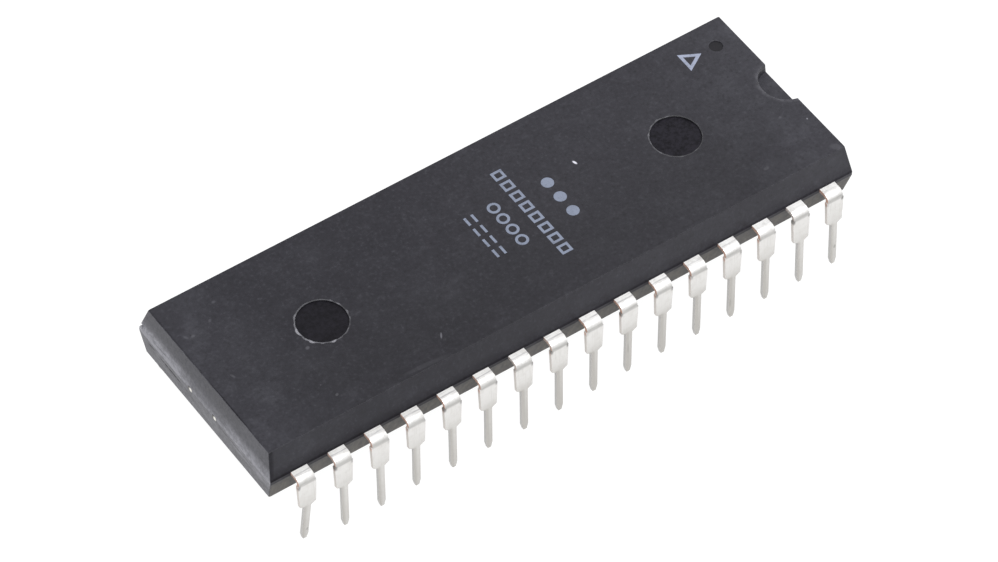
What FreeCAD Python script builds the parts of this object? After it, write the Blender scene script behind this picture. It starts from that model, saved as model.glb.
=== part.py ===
import FreeCAD, Part
import math
import os

import Sketcher

# A 32 lead dual in line memory chip: a black moulded package on a stamped and formed lead frame,
# with a silicon die bonded to the paddle inside and gold wires from the die to the leads.
# X runs along the package towards its end notch, Z points up from the surface the lead tips stand on.

# The sheet: alias, size in millimetres or degrees, what it is
SIZES = (
    ("body_width", 13.9, "package width where its halves meet"),
    ("end_margin", 1.95, "package end beyond the middle of the last lead"),
    ("top_end_draft", 0.3, "how far each end leans in by the top"),
    ("top_side_draft", 0.61, "how far each long side leans in by the top"),
    ("base_end_draft", 0.18, "how far each end leans in by the base"),
    ("base_side_draft", 0.44, "how far each long side leans in by the base"),
    ("body_rise", 1.92, "top face above the upper face of the lead strip"),
    ("body_drop", 1.71, "base below the lower face of the lead strip"),
    ("corner_radius", 0.1, "rounding of the upright corners"),
    ("notch_radius", 1.66, "half round notch at the pin 1 end"),
    ("notch_depth", 0.8, "depth of the end notch"),
    ("mark_diameter", 3.2, "round ejector mark"),
    ("mark_depth", 0.12, "depth of an ejector mark"),
    ("mark_offset", 12.76, "ejector mark from the middle of the package"),
    ("dot_diameter", 0.86, "moulded dot beside pin 1"),
    ("dot_depth", 0.09, "depth of the dot"),
    ("dot_from_end", 1.6, "middle of the dot from the end edge of the top face"),
    ("dot_from_side", 1.85, "middle of the dot from the long edge of the top face"),
    ("scar_length", 0.45, "gate scar along the end face, from the corner"),
    ("scar_rise", 0.45, "height of the gate scar above the parting line"),
    ("scar_depth", 0.37, "depth of the gate scar at the parting line"),
    ("strip_thick", 0.25, "thickness of the lead frame strip"),
    ("strip_height", 6.0, "upper face of the strip above the lead tips"),
    ("pitch", 2.54, "spacing of the leads along a row"),
    ("shoulder_reach", 0.84, "outer face of a leg from the package side, at the strip's upper face"),
    ("bend_radius", 0.16, "inside radius of a lead's bend"),
    ("lead_width", 1.13, "wide upper part of a lead"),
    ("stub_width", 1.27, "wide part across the stubs left where its tie bars were sheared"),
    ("stub_drop", 0.5, "upper end of the stubs below the strip's upper face"),
    ("wide_drop", 2.35, "end of the wide part below the strip's upper face"),
    ("shoulder_slope", 0.2, "height of the slope from the wide part to the narrow one"),
    ("tip_width", 0.46, "narrow lower part of a lead"),
    ("tip_taper", 0.45, "length of the tapered end of a lead"),
    ("tip_end", 0.24, "width of the very tip"),
    ("fan_room", 1.45, "ends of the fingers to the full width of the leads"),
    ("finger_width", 0.32, "inner finger of a lead"),
    ("finger_root", 0.17, "start of the finger within the anchor"),
    ("finger_gap", 0.5, "paddle to the ends of the fingers"),
    ("end_finger_start", 2.2, "first finger at the paddle's end, from the middle line"),
    ("end_finger_pitch", 0.6, "spacing of the fingers at the paddle's ends"),
    ("side_finger_pitch", 1.1, "spacing of the fingers at the paddle's sides"),
    ("paddle_length", 8.8, "paddle that carries the die"),
    ("paddle_width", 7.0, "width of the paddle"),
    ("tie_bar_width", 0.4, "bar that ties the paddle to a package end"),
    ("tie_bar_spacing", 2.56, "spacing of the two tie bars"),
    ("tie_bar_shift", 0.18, "how far the tie bars lie off the middle line"),
    ("tie_bar_stub", 0.02, "how far a sheared tie bar stands out of the package end"),
    ("attach_thick", 0.03, "adhesive under the die"),
    ("attach_margin", 0.15, "adhesive around the die"),
    ("die_length", 6.2, "silicon die"),
    ("die_width", 5.2, "width of the die"),
    ("die_thick", 0.36, "thickness of the die"),
    ("pad_inset", 0.2, "row of bond pads from the die's edge"),
    ("end_pad_pitch", 0.5, "spacing of the pads at the die's ends"),
    ("side_pad_pitch", 0.6, "spacing of the pads at the die's sides"),
    ("wire_diameter", 0.033, "gold bond wire"),
    ("wire_rise", 0.2, "wire above the die before it turns"),
    ("wire_toe", 0.12, "last upright stretch of a wire above its finger"),
    ("wire_landing", 0.25, "wire's foot from the end of its finger"),
)

# How far each leg leans outward from upright, in degrees, pin 1 to pin 32.
# Pins 17 to 32 follow the photograph, and the far row, which it hides, is like them.
LEANS = (
    3.4, 3.0, 3.3, 2.7, 3.1, 3.6, 3.2, 2.9, 3.4, 3.8, 3.1, 2.8, 3.3, 3.6, 4.4, 1.0,
    2.9, 3.0, 3.4, 2.5, 3.5, 3.3, 3.8, 3.6, 3.2, 2.6, 2.5, 3.0, 3.3, 3.6, 4.4, 4.3,
)
BENT_PIN = 17
BENT_TIP = -8.4

LEADS_PER_ROW = 16
END_FINGERS = 4
CUT_MARGIN = 0.5

START = 1
END = 2

doc = FreeCAD.newDocument("memory_chip")
sheet = doc.addObject("Spreadsheet::Sheet", "sizes")


def lean_name(pin):
    return f"lean_{pin:02d}"


def tip_name(pin):
    return f"tip_turn_{pin:02d}"


def fill_sheet():
    rows = list(SIZES)
    for pin, lean in enumerate(LEANS, 1):
        rows.append((lean_name(pin), lean, f"outward lean of lead {pin}"))
        tip_turn = BENT_TIP if pin == BENT_PIN else 0.0
        rows.append((tip_name(pin), tip_turn, f"outward turn of the narrow part of lead {pin}"))
    for row, (alias, value, meaning) in enumerate(rows, 1):
        sheet.set(f"A{row}", meaning)
        sheet.set(f"B{row}", str(value))
        sheet.setAlias(f"B{row}", alias)
    doc.recompute()


def value_of(expression):
    return float(sheet.evalExpression(expression))


fill_sheet()

# Levels and reaches that several pieces share
STRIP_TOP = "sizes.strip_height"
STRIP_BASE = "(sizes.strip_height - sizes.strip_thick)"
BODY_TOP = "(sizes.strip_height + sizes.body_rise)"
BODY_BASE = "(sizes.strip_height - sizes.strip_thick - sizes.body_drop)"
DIE_BASE = "(sizes.strip_height + sizes.attach_thick)"
DIE_TOP = "(sizes.strip_height + sizes.attach_thick + sizes.die_thick)"
HALF_LENGTH = f"(sizes.pitch * {(LEADS_PER_ROW - 1) / 2} + sizes.end_margin)"
HALF_WIDTH = "(sizes.body_width / 2)"
TOP_HALF_LENGTH = f"({HALF_LENGTH} - sizes.top_end_draft)"
TOP_HALF_WIDTH = f"({HALF_WIDTH} - sizes.top_side_draft)"
BASE_HALF_LENGTH = f"({HALF_LENGTH} - sizes.base_end_draft)"
BASE_HALF_WIDTH = f"({HALF_WIDTH} - sizes.base_side_draft)"
ROW_REACH = f"({HALF_WIDTH} + sizes.shoulder_reach)"
FINGER_REACH = "(sizes.paddle_width / 2 + sizes.finger_gap)"
ANCHOR_END = f"({FINGER_REACH} + sizes.fan_room)"


def new_sketch(body, name, role, level="0"):
    """An empty sketch on one of the body's own origin planes, raised to a level."""
    plane = next(item for item in body.Origin.OriginFeatures if item.Role == role)
    sketch = body.newObject("Sketcher::SketchObject", name)
    sketch.AttachmentSupport = [(plane, "")]
    sketch.MapMode = "FlatFace"
    sketch.setExpression("AttachmentOffset.Base.z", level)
    return sketch


def bind(sketch, kind, references, expression):
    """A dimension whose value is an expression on the sheet."""
    index = sketch.addConstraint(Sketcher.Constraint(kind, *references, value_of(expression)))
    name = f"size_{index}"
    sketch.renameConstraint(index, name)
    sketch.setExpression(f"Constraints.{name}", expression)


def pin_point(sketch, line, point, across, up):
    bind(sketch, "DistanceX", (-1, START, line, point), across)
    bind(sketch, "DistanceY", (-1, START, line, point), up)


def add_outline(sketch, corners):
    """A closed run of straight lines with each corner placed by two expressions."""
    points = [FreeCAD.Vector(value_of(across), value_of(up), 0) for across, up in corners]
    lines = []
    for start, end in zip(points, points[1:] + points[:1]):
        lines.append(sketch.addGeometry(Part.LineSegment(start, end), False))
    joins = []
    for line, after in zip(lines, lines[1:] + lines[:1]):
        joins.append(Sketcher.Constraint("Coincident", line, END, after, START))
    sketch.addConstraint(joins)
    for line, (across, up) in zip(lines, corners):
        pin_point(sketch, line, START, across, up)


def add_rectangle(sketch, half_length, half_width, middle="0"):
    left, right = f"-({half_length})", f"({half_length})"
    near, far = f"({middle} - {half_width})", f"({middle} + {half_width})"
    add_outline(sketch, ((left, near), (right, near), (right, far), (left, far)))


def add_circle(sketch, across, up, diameter):
    centre = FreeCAD.Vector(value_of(across), value_of(up), 0)
    round_edge = Part.Circle(centre, FreeCAD.Vector(0, 0, 1), value_of(diameter) / 2)
    circle = sketch.addGeometry(round_edge, False)
    bind(sketch, "Diameter", (circle,), diameter)
    pin_point(sketch, circle, 3, across, up)


def add_bar(sketch, start, end, width):
    """A bar of even width along a centre line that runs between two points."""
    first = FreeCAD.Vector(value_of(start[0]), value_of(start[1]), 0)
    last = FreeCAD.Vector(value_of(end[0]), value_of(end[1]), 0)
    along = (last - first).normalize()
    aside = FreeCAD.Vector(-along.y, along.x, 0) * (value_of(width) / 2)
    centre = sketch.addGeometry(Part.LineSegment(first, last), True)
    points = [first - aside, last - aside, last + aside, first + aside]
    lines = []
    for one, other in zip(points, points[1:] + points[:1]):
        lines.append(sketch.addGeometry(Part.LineSegment(one, other), False))
    near, tip, far, root = lines
    sketch.addConstraint([
        Sketcher.Constraint("Coincident", near, END, tip, START),
        Sketcher.Constraint("Coincident", tip, END, far, START),
        Sketcher.Constraint("Coincident", far, END, root, START),
        Sketcher.Constraint("Coincident", root, END, near, START),
        Sketcher.Constraint("Symmetric", root, START, root, END, centre, START),
        Sketcher.Constraint("Symmetric", tip, START, tip, END, centre, END),
        Sketcher.Constraint("Perpendicular", root, centre),
        Sketcher.Constraint("Perpendicular", tip, centre),
        Sketcher.Constraint("Equal", root, tip),
    ])
    pin_point(sketch, centre, START, *start)
    pin_point(sketch, centre, END, *end)
    bind(sketch, "Distance", (root, START, root, END), width)


def add_pad(body, name, sketch, length, symmetric=False):
    pad = body.newObject("PartDesign::Pad", name)
    pad.Profile = sketch
    if symmetric:
        pad.SideType = "Symmetric"
    pad.setExpression("Length", length)
    body.Tip = pad
    doc.recompute()
    return pad


def add_pocket(body, name, sketch, depth=None):
    """A cut downward from the sketch, or right through both ways where no depth is given."""
    before = body.Shape.Volume
    pocket = body.newObject("PartDesign::Pocket", name)
    pocket.Profile = sketch
    if depth is None:
        pocket.Type = "ThroughAll"
        pocket.SideType = "Symmetric"
    else:
        pocket.setExpression("Length", depth)
    body.Tip = pocket
    doc.recompute()
    if body.Shape.Volume >= before:
        raise RuntimeError(f"{name} cut nothing from {body.Label}")
    return pocket


def edges_where(shape, test):
    names = []
    for number, edge in enumerate(shape.Edges, 1):
        if test([vertex.Point for vertex in edge.Vertexes]):
            names.append(f"Edge{number}")
    return names


def add_fillet(body, name, base, edge_names, radius):
    fillet = body.newObject("PartDesign::Fillet", name)
    fillet.Base = (base, edge_names)
    fillet.setExpression("Radius", radius)
    body.Tip = fillet
    doc.recompute()
    return fillet


# Package: two drafted halves that meet in an upright land as thick as the lead strip

def add_half(body, name, level, far_level, far_half_length, far_half_width):
    """One drafted half of the package, from the land to the top or to the base."""
    root = new_sketch(body, f"{name}_root", "XY_Plane", level)
    add_rectangle(root, HALF_LENGTH, HALF_WIDTH)
    face = new_sketch(body, f"{name}_face", "XY_Plane", far_level)
    add_rectangle(face, far_half_length, far_half_width)
    doc.recompute()
    half = body.newObject("PartDesign::AdditiveLoft", name)
    half.Profile = root
    half.Sections = [face]
    half.Ruled = True
    body.Tip = half
    doc.recompute()
    return half


def round_corners(body, base):
    """Rounds the upright edges at the four corners of the land and of both halves."""
    levels = [value_of(level) for level in (BODY_BASE, STRIP_BASE, STRIP_TOP, BODY_TOP)]

    def upright(points):
        heights = sorted(point.z for point in points)
        spans = zip(levels, levels[1:])
        return any(
            abs(heights[0] - low) < 1e-6 and abs(heights[-1] - high) < 1e-6
            for low, high in spans
        )

    return add_fillet(body, "corner_rounding", base, edges_where(base.Shape, upright), "sizes.corner_radius")


def make_package():
    body = doc.addObject("PartDesign::Body", "package_blank")
    land = new_sketch(body, "land_outline", "XY_Plane", STRIP_BASE)
    add_rectangle(land, HALF_LENGTH, HALF_WIDTH)
    add_pad(body, "land", land, "sizes.strip_thick")
    add_half(body, "upper_half", STRIP_TOP, BODY_TOP, TOP_HALF_LENGTH, TOP_HALF_WIDTH)
    lower = add_half(body, "lower_half", STRIP_BASE, BODY_BASE, BASE_HALF_LENGTH, BASE_HALF_WIDTH)
    round_corners(body, lower)

    marks = new_sketch(body, "top_marks", "XY_Plane", BODY_TOP)
    for side in ("-", ""):
        add_circle(marks, f"{side}sizes.mark_offset", "0", "sizes.mark_diameter")
    add_pocket(body, "top_ejector_marks", marks, "sizes.mark_depth")

    base_marks = new_sketch(body, "base_marks", "XY_Plane", f"{BODY_BASE} + sizes.mark_depth")
    for side in ("-", ""):
        add_circle(base_marks, f"{side}sizes.mark_offset", "0", "sizes.mark_diameter")
    add_pocket(body, "base_ejector_marks", base_marks, "sizes.mark_depth")

    dot = new_sketch(body, "dot_outline", "XY_Plane", BODY_TOP)
    across = f"{TOP_HALF_LENGTH} - sizes.dot_from_end"
    add_circle(dot, across, f"{TOP_HALF_WIDTH} - sizes.dot_from_side", "sizes.dot_diameter")
    add_pocket(body, "first_pin_dot", dot, "sizes.dot_depth")

    notch = new_sketch(body, "notch_outline", "XY_Plane", BODY_TOP)
    add_circle(notch, HALF_LENGTH, "0", "2 * sizes.notch_radius")
    add_pocket(body, "end_notch", notch, "sizes.notch_depth")
    return body


def make_gate_scar():
    """The wedge broken out of the upper half where the mould's gate was, at the far corner."""
    scar = doc.addObject("PartDesign::Body", "gate_scar")
    profile = new_sketch(scar, "scar_profile", "XZ_Plane")
    outer = f"-({HALF_LENGTH} + {CUT_MARGIN})"
    foot = f"-({HALF_LENGTH} - sizes.scar_depth)"
    head = f"-({HALF_LENGTH} - sizes.top_end_draft * sizes.scar_rise / sizes.body_rise)"
    scar_top = f"({STRIP_TOP} + sizes.scar_rise)"
    add_outline(profile, ((outer, STRIP_TOP), (foot, STRIP_TOP), (head, scar_top), (outer, scar_top)))
    add_pad(scar, "scar_wedge", profile, f"sizes.scar_length + {CUT_MARGIN}")
    scar.setExpression("Placement.Base.y", f"{HALF_WIDTH} + {CUT_MARGIN}")
    return scar


# Leads: a strip that leaves the package, bends down and narrows to its tip, with an inner finger

def column_of(pin):
    """A lead's place along its row, counted so that leads opposite through the middle share it."""
    return (pin - 1) % LEADS_PER_ROW + 1


def row_offset(column):
    return f"(sizes.pitch * {(LEADS_PER_ROW + 1) / 2 - column})"


def finger_target(column):
    """Where the finger of a column ends beside the paddle, and which way it lies along X."""
    mirrored = column > LEADS_PER_ROW / 2
    step = LEADS_PER_ROW + 1 - column if mirrored else column
    if step <= END_FINGERS:
        across = "(sizes.paddle_length / 2 + sizes.finger_gap)"
        up = f"(sizes.end_finger_start + sizes.end_finger_pitch * {step - 1})"
    else:
        across = f"(sizes.side_finger_pitch * {(LEADS_PER_ROW + 1) / 2 - step})"
        up = FINGER_REACH
    return (f"(-{across})" if mirrored else across), up


def strip_corners(pin):
    """Side outline of the bent strip, its bend still sharp, as pairs out and up."""
    lean = f"sizes.{lean_name(pin)} * 1 deg"
    tip_lean = f"(sizes.{lean_name(pin)} + sizes.{tip_name(pin)}) * 1 deg"
    level = f"sizes.strip_thick / cos({lean})"
    knee = f"({STRIP_TOP} - sizes.wide_drop)"
    outer_knee = f"({ROW_REACH} + sizes.wide_drop * tan({lean}))"
    outer_tip = f"({outer_knee} + {knee} * tan({tip_lean}))"
    inner_bend = f"({ROW_REACH} + sizes.strip_thick * tan({lean}) - {level})"
    return (
        (ANCHOR_END, STRIP_BASE),
        (inner_bend, STRIP_BASE),
        (f"{outer_knee} - {level}", knee),
        (f"{outer_tip} - {level}", "0"),
        (outer_tip, "0"),
        (outer_knee, knee),
        (ROW_REACH, STRIP_TOP),
        (ANCHOR_END, STRIP_TOP),
    )


def edge_cut_corners(side):
    """What is cut from one side of the strip to leave its sheared stub, narrow part and tapered tip."""
    outside = f"{side}(sizes.stub_width / 2 + {CUT_MARGIN})"
    above = f"({STRIP_TOP} + {CUT_MARGIN})"
    stub_top = f"({STRIP_TOP} - sizes.stub_drop)"
    shoulder = f"({STRIP_TOP} - sizes.wide_drop)"
    return (
        (outside, above),
        (f"{side}(sizes.lead_width / 2)", above),
        (f"{side}(sizes.lead_width / 2)", stub_top),
        (f"{side}(sizes.stub_width / 2)", stub_top),
        (f"{side}(sizes.lead_width / 2)", shoulder),
        (f"{side}(sizes.tip_width / 2)", f"{shoulder} - sizes.shoulder_slope"),
        (f"{side}(sizes.tip_width / 2)", "sizes.tip_taper"),
        (f"{side}(sizes.tip_end / 2)", "0"),
        (f"{side}(sizes.tip_end / 2)", f"-{CUT_MARGIN}"),
        (outside, f"-{CUT_MARGIN}"),
    )


def round_bend(body, strip, corner, name, radius):
    """Rounds the edge that runs across the strip through one corner of its side outline."""
    reach, height = (value_of(part) for part in corner)

    def on_corner(points):
        return all(math.hypot(point.y - reach, point.z - height) < 1e-6 for point in points)

    return add_fillet(body, name, strip, edges_where(strip.Shape, on_corner), radius)


def make_lead(pin):
    label = f"lead_{pin:02d}"
    column = column_of(pin)
    body = doc.addObject("PartDesign::Body", label)
    corners = strip_corners(pin)
    side = new_sketch(body, f"{label}_side", "YZ_Plane")
    add_outline(side, corners)
    strip = add_pad(body, f"{label}_strip", side, f"sizes.stub_width + {CUT_MARGIN}", symmetric=True)
    inner = round_bend(body, strip, corners[1], f"{label}_inner_bend", "sizes.bend_radius")
    outer = corners[6]
    round_bend(body, inner, outer, f"{label}_outer_bend", "sizes.bend_radius + sizes.strip_thick")

    front = new_sketch(body, f"{label}_front", "XZ_Plane")
    for half in ("-", ""):
        add_outline(front, edge_cut_corners(half))
    add_pocket(body, f"{label}_edges", front)

    across, up = finger_target(column)
    plan = new_sketch(body, f"{label}_plan", "XY_Plane", STRIP_BASE)
    root = ("0", f"{ANCHOR_END} + sizes.finger_root")
    add_bar(plan, root, (f"{across} - {row_offset(column)}", up), "sizes.finger_width")
    add_pad(body, f"{label}_finger", plan, "sizes.strip_thick")

    far_row = pin <= LEADS_PER_ROW
    turn = 0 if far_row else 180
    body.Placement = FreeCAD.Placement(FreeCAD.Vector(), FreeCAD.Rotation(FreeCAD.Vector(0, 0, 1), turn))
    body.setExpression("Placement.Base.x", row_offset(column) if far_row else f"-{row_offset(column)}")
    body.Label = label
    return body


# Inside: the paddle with its tie bars, the adhesive, the die and the bond wires

def make_paddle():
    body = doc.addObject("PartDesign::Body", "die_paddle")
    plate = new_sketch(body, "paddle_outline", "XY_Plane", STRIP_BASE)
    add_rectangle(plate, "sizes.paddle_length / 2", "sizes.paddle_width / 2")
    add_pad(body, "paddle_plate", plate, "sizes.strip_thick")
    bars = new_sketch(body, "tie_bar_outline", "XY_Plane", STRIP_BASE)
    reach = f"{HALF_LENGTH} + sizes.tie_bar_stub"
    for side in ("-", "+"):
        middle = f"(sizes.tie_bar_shift {side} sizes.tie_bar_spacing / 2)"
        add_rectangle(bars, reach, "sizes.tie_bar_width / 2", middle)
    add_pad(body, "tie_bars", bars, "sizes.strip_thick")
    body.Label = "die_paddle"
    return body


def make_block(label, length, width, height, level):
    """A flat block centred over the paddle."""
    block = doc.addObject("Part::Box", label)
    block.setExpression("Length", length)
    block.setExpression("Width", width)
    block.setExpression("Height", height)
    block.setExpression("Placement.Base.x", f"-({length}) / 2")
    block.setExpression("Placement.Base.y", f"-({width}) / 2")
    block.setExpression("Placement.Base.z", level)
    block.Label = label
    return block


def pad_place(column):
    """The bond pad of a column on the die, in X and Y."""
    mirrored = column > LEADS_PER_ROW / 2
    step = LEADS_PER_ROW + 1 - column if mirrored else column
    if step <= END_FINGERS:
        across = value_of("sizes.die_length / 2 - sizes.pad_inset")
        up = value_of("sizes.end_pad_pitch") * (step - 1 / 2)
    else:
        across = value_of("sizes.side_pad_pitch") * ((LEADS_PER_ROW + 1) / 2 - step)
        up = value_of("sizes.die_width / 2 - sizes.pad_inset")
    return FreeCAD.Vector(-across if mirrored else across, up, 0)


def landing_place(column):
    """Where the wire of a column comes down on its finger, in X and Y."""
    target = FreeCAD.Vector(*(value_of(part) for part in finger_target(column)), 0)
    root = FreeCAD.Vector(
        value_of(row_offset(column)), value_of(f"{ANCHOR_END} + sizes.finger_root"), 0
    )
    return target + (root - target).normalize() * value_of("sizes.wire_landing")


def wire_shape(column):
    """One round wire: up from its pad, in a long slope outward, and down on its finger."""
    pad, landing = pad_place(column), landing_place(column)
    pad_height, strip_height = value_of(DIE_TOP), value_of(STRIP_TOP)
    path = Part.makePolygon([
        pad + FreeCAD.Vector(0, 0, pad_height),
        pad + FreeCAD.Vector(0, 0, pad_height + value_of("sizes.wire_rise")),
        landing + FreeCAD.Vector(0, 0, strip_height + value_of("sizes.wire_toe")),
        landing + FreeCAD.Vector(0, 0, strip_height),
    ])
    foot = path.Vertexes[0].Point
    section = Part.makeCircle(value_of("sizes.wire_diameter") / 2, foot, FreeCAD.Vector(0, 0, 1))
    mitred = 1
    return path.makePipeShell([Part.Wire(section)], True, False, mitred)


def make_wires():
    wires = []
    for pin in range(1, 2 * LEADS_PER_ROW + 1):
        wire = wire_shape(column_of(pin))
        if pin > LEADS_PER_ROW:
            wire.rotate(FreeCAD.Vector(), FreeCAD.Vector(0, 0, 1), 180)
        wires.append(wire)
    group = doc.addObject("Part::Feature", "bond_wires")
    group.Shape = Part.makeCompound(wires)
    group.Placement = FreeCAD.Placement()
    group.Label = "bond_wires"
    return group


def cut_away(name, base, tools):
    """The base with the room taken by some pieces, which don't touch one another, cut out."""
    gathered = doc.addObject("Part::Compound", f"{name}_tools")
    gathered.Links = tools
    cut = doc.addObject("Part::Cut", name)
    cut.Base = base
    cut.Tool = gathered
    doc.recompute()
    return cut


def check_document():
    for item in doc.Objects:
        if "Invalid" in item.State or "Error" in item.State:
            raise RuntimeError(f"{item.Label} failed: {item.State}")


def check_piece(piece, solids):
    shape = piece.Shape
    if shape.isNull() or not shape.isValid():
        raise RuntimeError(f"{piece.Label} has no valid shape")
    if len(shape.Solids) != solids:
        raise RuntimeError(f"{piece.Label} has {len(shape.Solids)} solids and not {solids}")


package_blank = make_package()
gate_scar = make_gate_scar()
leads = [make_lead(pin) for pin in range(1, 2 * LEADS_PER_ROW + 1)]
paddle = make_paddle()
attach = make_block(
    "die_attach",
    "sizes.die_length + 2 * sizes.attach_margin",
    "sizes.die_width + 2 * sizes.attach_margin",
    "sizes.attach_thick",
    STRIP_TOP,
)
die = make_block("silicon_die", "sizes.die_length", "sizes.die_width", "sizes.die_thick", DIE_BASE)
wires = make_wires()

framed = cut_away("frame_room", package_blank, [*leads, paddle, die, gate_scar])
seated = cut_away("attach_room", framed, [attach])
package = cut_away("wire_room", seated, [wires])
package.Label = "package_body"

doc.recompute()
check_document()
pieces = [package, *leads, paddle, attach, die, wires]
for piece in pieces:
    check_piece(piece, len(leads) if piece is wires else 1)

os.makedirs("parts", exist_ok=True)
for piece in pieces:
    piece.Shape.exportStep(f"parts/{piece.Label}.step")
print(f"{len(pieces)} nodes written")
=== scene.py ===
import math
import random

import bmesh
import bpy
from bpy.props import FloatProperty, FloatVectorProperty, PointerProperty
from bpy.types import Operator, Panel, PropertyGroup
from mathutils import Matrix, Vector


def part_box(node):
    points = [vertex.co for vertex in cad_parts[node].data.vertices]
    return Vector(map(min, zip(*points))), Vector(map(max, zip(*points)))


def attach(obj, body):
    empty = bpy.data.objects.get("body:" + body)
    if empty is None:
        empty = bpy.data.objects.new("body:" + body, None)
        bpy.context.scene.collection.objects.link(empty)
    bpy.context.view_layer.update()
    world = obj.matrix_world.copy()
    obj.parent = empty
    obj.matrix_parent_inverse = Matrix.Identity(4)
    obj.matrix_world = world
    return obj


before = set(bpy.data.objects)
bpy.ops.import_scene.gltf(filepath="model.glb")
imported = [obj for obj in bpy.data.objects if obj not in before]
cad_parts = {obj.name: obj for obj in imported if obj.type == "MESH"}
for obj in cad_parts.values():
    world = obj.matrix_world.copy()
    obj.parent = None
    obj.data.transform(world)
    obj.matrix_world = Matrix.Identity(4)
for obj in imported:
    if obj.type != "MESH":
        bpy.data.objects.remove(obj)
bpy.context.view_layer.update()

bl_info = {
    "name": "Memory Chip Finish",
    "version": (1, 0, 0),
    "blender": (4, 5, 0),
    "location": "View3D > Sidebar > Chip",
    "description": "Finishes a moulded memory chip with its leads, print and scuffs",
    "category": "Object",
}

# Lengths below are in millimetres, and become metres where a mesh or a modifier takes them
MM = 0.001

# Levels and reaches of the chip, and its leads, read from the frame
BODY_LOW, BODY_HIGH = (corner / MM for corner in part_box("package_body"))
STRIP_LOW, STRIP_HIGH = (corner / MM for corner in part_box("die_paddle"))
TOP = BODY_HIGH.z
BASE = BODY_LOW.z
STRIP_TOP = STRIP_HIGH.z
STRIP_BASE = STRIP_LOW.z
HALF_LENGTH = BODY_HIGH.x
LEAD_NODES = sorted(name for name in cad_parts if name.startswith("lead_"))

# Forms that the frame doesn't name: spacing of the leads, inward slant of an end face for each millimetre
# of height, radius of the end notch, and the two ejector marks on the top
PITCH = 2.54
END_SLANT = 0.156
NOTCH_RADIUS = 1.66
MARK_X = 12.76
MARK_RADIUS = 1.6


# Node trees

class Signal:
    """A value in a node tree. Arithmetic on it adds Math nodes."""

    def __init__(self, nodes, socket):
        self.nodes = nodes
        self.socket = socket

    def __add__(self, other):
        return self.nodes.maths("ADD", self, other)

    __radd__ = __add__

    def __sub__(self, other):
        return self.nodes.maths("SUBTRACT", self, other)

    def __rsub__(self, other):
        return self.nodes.maths("SUBTRACT", other, self)

    def __mul__(self, other):
        return self.nodes.maths("MULTIPLY", self, other)

    __rmul__ = __mul__

    def __truediv__(self, other):
        return self.nodes.maths("DIVIDE", self, other)

    def __pow__(self, other):
        return self.nodes.maths("POWER", self, other)

    def __abs__(self):
        return self.nodes.maths("ABSOLUTE", self)

    def most(self, other):
        return self.nodes.maths("MAXIMUM", self, other)

    def fraction(self):
        return self.nodes.maths("FRACT", self)

    def above(self, level):
        return self.nodes.maths("GREATER_THAN", self, level)

    def below(self, level):
        return self.nodes.maths("LESS_THAN", self, level)

    def between(self, low, high):
        """Rises smoothly from 0 at low to 1 at high, or falls where low is the larger."""
        inputs = {"Value": self, "From Min": low, "From Max": high}
        return self.nodes.node("ShaderNodeMapRange", {"interpolation_type": "SMOOTHSTEP"}, inputs)

    def within(self, start, full, ebb, end):
        """Goes from 0 at start to 1 at full, and from 1 at ebb to 0 at end."""
        return self.between(start, full) * self.between(end, ebb)


class Nodes:
    """A node tree that is filled by one method."""

    def __init__(self, tree):
        self.tree = tree
        self.tree.nodes.clear()

    def node(self, kind, settings=None, inputs=None, output=0):
        """Adds a node: its settings first, then the values or links of its sockets."""
        made = self.tree.nodes.new(kind)
        for name, value in (settings or {}).items():
            setattr(made, name, value)
        for name, value in (inputs or {}).items():
            if isinstance(value, Signal):
                self.tree.links.new(value.socket, made.inputs[name])
            else:
                made.inputs[name].default_value = value
        return Signal(self, made.outputs[output]) if made.outputs else made

    def maths(self, operation, *values):
        return self.node("ShaderNodeMath", {"operation": operation}, dict(enumerate(values)))

    def parts(self, vector):
        """The X, Y and Z of a vector."""
        first = self.node("ShaderNodeSeparateXYZ", inputs={0: vector})
        return [Signal(self, socket) for socket in first.socket.node.outputs]


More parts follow.
